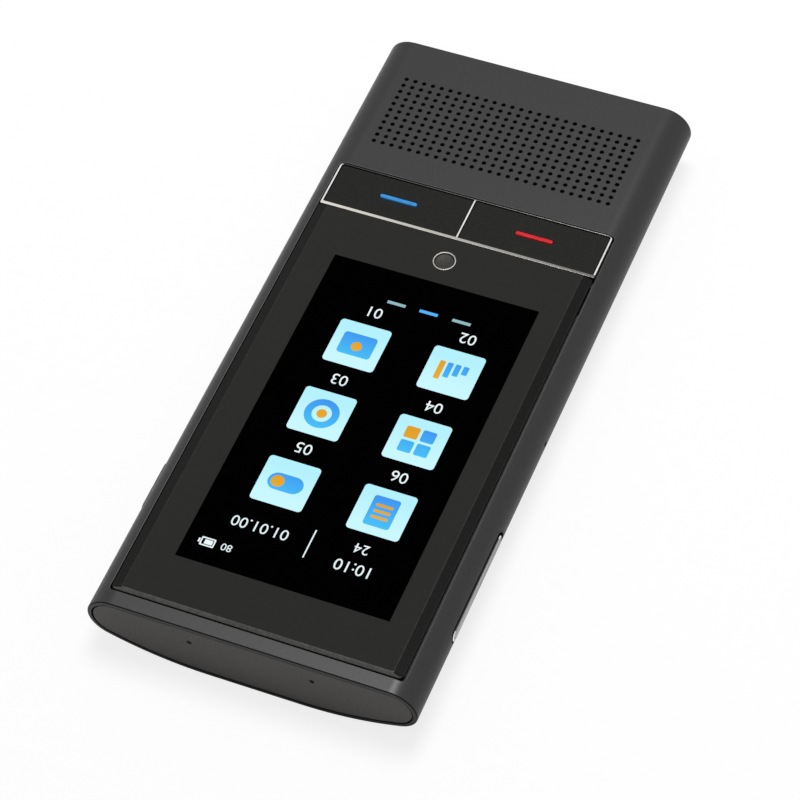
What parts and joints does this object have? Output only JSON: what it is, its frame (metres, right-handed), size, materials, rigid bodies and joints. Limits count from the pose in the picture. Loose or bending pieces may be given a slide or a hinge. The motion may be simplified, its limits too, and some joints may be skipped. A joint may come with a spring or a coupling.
{
  "type": "handheld translator",
  "caption": "Flat bar-shaped handheld voice translator with a glass front, two press-to-talk keys, home button, speaker grille, side keys and a charging socket.",
  "frame": {"origin": "under the middle of the flat back, on the surface that the device lies on", "axes": "+Z out of the screen, +Y along the body towards the microphone end, +X towards the power key"},
  "size_m": [0.0578, 0.129, 0.0124],
  "materials": {
    "housing_anodised": "dark grey anodised, fine satin",
    "end_cap_plastic": "fine moulded matt",
    "chassis_plastic": "glass-filled moulding",
    "cover_glass": "polished, dark printed border",
    "black_foam": "fine closed foam",
    "display_glass": "dark glossy panel with a lit picture",
    "tin_plate": "tin-plated sheet, satin",
    "flex_film": "amber polyimide film",
    "bright_bezel": "bright plated",
    "key_black": "satin moulded",
    "light_blue": "clear tinted light guide",
    "light_red": "clear tinted light guide",
    "ring_silver": "satin plated",
    "home_button_grey": "dark spun satin",
    "board_green": "solder mask over glass-epoxy board",
    "led_white": "small moulded lamp",
    "volume_key_metal": "polished edges, satin face",
    "switch_black": "fine moulded",
    "copper_foil": "bare copper foil",
    "cone_paper": "pressed film cone",
    "dust_cloth": "fine woven black mesh",
    "battery_pouch": "laminated foil pouch",
    "tape_cream": "double-sided tape"
  },
  "bodies": {
    "housing": {"housing_sleeve": "housing_anodised", "mic_end_cap": "end_cap_plastic", "port_end_cap": "end_cap_plastic", "chassis": "chassis_plastic", "front_glass": "cover_glass", "glass_adhesive": "black_foam", "display_panel": "display_glass", "display_backlight": "tin_plate", "display_flex": "flex_film", "key_bezel": "bright_bezel", "home_ring": "ring_silver", "key_board": "board_green", "blue_key_light": "led_white", "red_key_light": "led_white", "volume_board": "board_green", "power_board": "board_green", "main_board": "board_green", "processor_shield": "tin_plate", "radio_shield": "tin_plate", "usb_socket": "tin_plate", "usb_tongue": "switch_black", "antenna_foil": "copper_foil", "mic_board": "board_green", "mic_boot_right": "black_foam", "mic_boot_left": "black_foam", "mic_capsule_right": "ring_silver", "mic_capsule_left": "ring_silver", "speaker_frame": "switch_black", "speaker_magnet": "tin_plate", "speaker_gasket": "black_foam", "speaker_cloth": "dust_cloth", "battery": "battery_pouch", "battery_tape": "tape_cream", "battery_lead": "flex_film", "blue_key_switch": "switch_black", "red_key_switch": "switch_black", "home_switch": "switch_black", "volume_up_switch": "switch_black", "volume_down_switch": "switch_black", "reset_switch": "switch_black", "power_switch": "switch_black", "board_screw_1": "tin_plate", "board_screw_2": "tin_plate", "board_screw_3": "tin_plate", "board_screw_4": "tin_plate"},
    "blue_key": {"blue_key": "key_black", "blue_light_bar": "light_blue", "blue_key_plunger": "ring_silver"},
    "red_key": {"red_key": "key_black", "red_light_bar": "light_red", "red_key_plunger": "ring_silver"},
    "home_button": {"home_button": "home_button_grey", "home_plunger": "ring_silver"},
    "power_key": {"power_key": "housing_anodised", "power_plunger": "ring_silver"},
    "volume_key": {"volume_key": "volume_key_metal", "volume_up_plunger": "ring_silver", "volume_down_plunger": "ring_silver"},
    "reset_plunger": {"reset_plunger": "ring_silver"},
    "speaker_cone": {"speaker_cone": "cone_paper"}
  },
  "joints": [
    {"name": "blue_key_press", "type": "slide", "parent": "housing", "child": "blue_key", "axis": [0, 0, -1], "range_m": [0, 0.00035], "stiffness_N_per_m": 1500, "springref_m": -0.0006},
    {"name": "red_key_press", "type": "slide", "parent": "housing", "child": "red_key", "axis": [0, 0, -1], "range_m": [0, 0.00035], "stiffness_N_per_m": 1500, "springref_m": -0.0006},
    {"name": "home_press", "type": "slide", "parent": "housing", "child": "home_button", "axis": [0, 0, -1], "range_m": [0, 0.0003], "stiffness_N_per_m": 1500, "springref_m": -0.0006},
    {"name": "power_press", "type": "slide", "parent": "housing", "child": "power_key", "axis": [-1, 0, 0], "range_m": [0, 0.0003], "stiffness_N_per_m": 1500, "springref_m": -0.0006},
    {"name": "reset_press", "type": "slide", "parent": "housing", "child": "reset_plunger", "axis": [1, 0, 0], "range_m": [0, 0.0003], "stiffness_N_per_m": 1500, "springref_m": -0.0006},
    {"name": "volume_rock", "type": "hinge", "parent": "housing", "child": "volume_key", "pos_m": [-0.0239, 0.038, 0.00755], "axis": [0, 0, 1], "range_deg": [-1.2, 1.2], "stiffness_Nm_per_rad": 0.15},
    {"name": "cone_stroke", "type": "slide", "parent": "housing", "child": "speaker_cone", "axis": [0, 0, 1], "range_m": [-0.0003, 0.0003], "stiffness_N_per_m": 1000}
  ]
}
